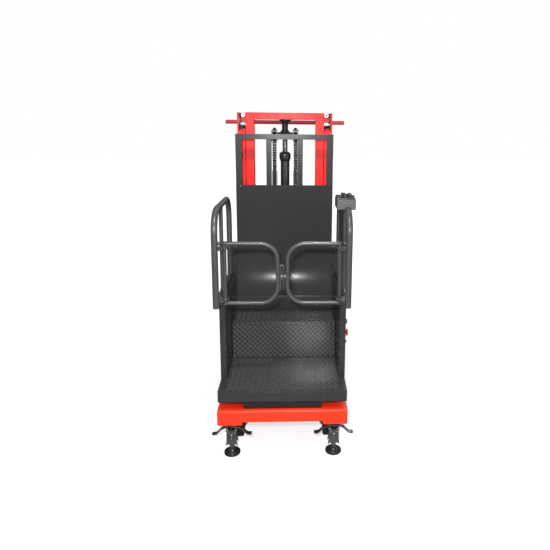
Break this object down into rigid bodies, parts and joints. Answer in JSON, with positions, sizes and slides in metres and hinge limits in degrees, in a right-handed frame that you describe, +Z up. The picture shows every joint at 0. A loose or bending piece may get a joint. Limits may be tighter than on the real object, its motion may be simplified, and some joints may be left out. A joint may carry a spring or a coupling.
{
  "type": "order picker truck",
  "caption": "Push-along order picker with a two-stage roller mast, one lift cylinder, chains and a railed standing platform with swinging gates.",
  "frame": {"origin": "on the floor under the middle of the machine's bounding box", "axes": "+Z up, +Y to the rear (the push handle side), +X to the right seen from the gates"},
  "size_m": [0.744, 1.26, 1.778],
  "materials": {
    "base_paint": "gloss",
    "mast_paint": "gloss",
    "frame_paint": "semi-gloss",
    "chrome_rod": "polished",
    "zinc": "zinc plated",
    "chain_steel": "oiled",
    "rubber_pad": "matt",
    "wheel_tread": "satin",
    "black_plastic": "satin"
  },
  "bodies": {
    "chassis": {"front_beam": "base_paint", "side_beam_left": "base_paint", "side_beam_right": "base_paint", "rear_beam": "base_paint", "mast_foot": "base_paint", "front_buffer": "rubber_pad", "outer_mast_left": "mast_paint", "outer_mast_right": "mast_paint", "outer_tie_low": "mast_paint", "outer_tie_mid": "mast_paint", "loading_bar": "mast_paint", "lift_cylinder": "frame_paint", "chain_anchor": "frame_paint", "push_handle": "frame_paint", "power_cover": "frame_paint", "battery": "black_plastic", "hydraulic_unit": "frame_paint", "lock_housing_left": "zinc", "lock_housing_right": "zinc", "rear_fork_left": "zinc", "rear_fork_right": "zinc", "top_guide_left": "zinc", "top_guide_right": "zinc"},
    "inner_mast": {"inner_mast_left": "mast_paint", "inner_mast_right": "mast_paint", "inner_top_beam": "mast_paint", "inner_tie": "mast_paint", "piston_rod": "chrome_rod", "crosshead": "frame_paint", "chain_left": "chain_steel", "chain_right": "chain_steel"},
    "platform": {"deck": "frame_paint", "tread_plate": "frame_paint", "step_box": "frame_paint", "side_plate_left": "frame_paint", "side_plate_right": "frame_paint", "carriage_left": "frame_paint", "carriage_right": "frame_paint", "carriage_bar_low": "frame_paint", "carriage_bar_high": "frame_paint", "chain_bar": "frame_paint", "back_frame": "frame_paint", "back_panel": "frame_paint", "kick_plate": "frame_paint", "rail_left": "frame_paint", "rail_right": "frame_paint", "control_box": "frame_paint", "control_knobs": "black_plastic", "button_station": "black_plastic"},
    "gate_left": {"gate_left": "frame_paint"},
    "front_swivel_left": {"front_fork_left": "zinc"},
    "front_wheel_left": {"front_wheel_left": "wheel_tread"},
    "rear_wheel_left": {"rear_wheel_left": "wheel_tread"},
    "lock_foot_left": {"lock_foot_left": "rubber_pad"},
    "gate_right": {"gate_right": "frame_paint"},
    "front_swivel_right": {"front_fork_right": "zinc"},
    "front_wheel_right": {"front_wheel_right": "wheel_tread"},
    "rear_wheel_right": {"rear_wheel_right": "wheel_tread"},
    "lock_foot_right": {"lock_foot_right": "rubber_pad"}
  },
  "joints": [
    {"name": "mast_lift", "type": "slide", "parent": "chassis", "child": "inner_mast", "axis": [0, 0, 1], "range_m": [0, 1.15]},
    {"name": "platform_lift", "type": "slide", "parent": "inner_mast", "child": "platform", "axis": [0, 0, 1], "range_m": [0, 1.15]},
    {"name": "gate_left_hinge", "type": "hinge", "parent": "platform", "child": "gate_left", "pos_m": [-0.284, -0.5615, 0.97], "axis": [0, 0, 1], "range_deg": [0, 90]},
    {"name": "front_swivel_left_turn", "type": "hinge", "parent": "chassis", "child": "front_swivel_left", "pos_m": [-0.24, -0.435, 0.185], "axis": [0, 0, 1], "continuous": true},
    {"name": "front_wheel_left_spin", "type": "hinge", "parent": "front_swivel_left", "child": "front_wheel_left", "pos_m": [-0.24, -0.409, 0.07], "axis": [1, 0, 0], "continuous": true},
    {"name": "rear_wheel_left_spin", "type": "hinge", "parent": "chassis", "child": "rear_wheel_left", "pos_m": [-0.275, 0.49, 0.07], "axis": [1, 0, 0], "continuous": true},
    {"name": "lock_left_slide", "type": "slide", "parent": "chassis", "child": "lock_foot_left", "axis": [0, 0, 1], "range_m": [0, 0.025]},
    {"name": "gate_right_hinge", "type": "hinge", "parent": "platform", "child": "gate_right", "pos_m": [0.284, -0.5615, 0.97], "axis": [0, 0, -1], "range_deg": [0, 90]},
    {"name": "front_swivel_right_turn", "type": "hinge", "parent": "chassis", "child": "front_swivel_right", "pos_m": [0.24, -0.435, 0.185], "axis": [0, 0, 1], "continuous": true},
    {"name": "front_wheel_right_spin", "type": "hinge", "parent": "front_swivel_right", "child": "front_wheel_right", "pos_m": [0.24, -0.409, 0.07], "axis": [1, 0, 0], "continuous": true},
    {"name": "rear_wheel_right_spin", "type": "hinge", "parent": "chassis", "child": "rear_wheel_right", "pos_m": [0.275, 0.49, 0.07], "axis": [1, 0, 0], "continuous": true},
    {"name": "lock_right_slide", "type": "slide", "parent": "chassis", "child": "lock_foot_right", "axis": [0, 0, 1], "range_m": [0, 0.025]}
  ],
  "couplings": [
    {"joint": "platform_lift", "follows": "mast_lift", "ratio": 1}
  ]
}
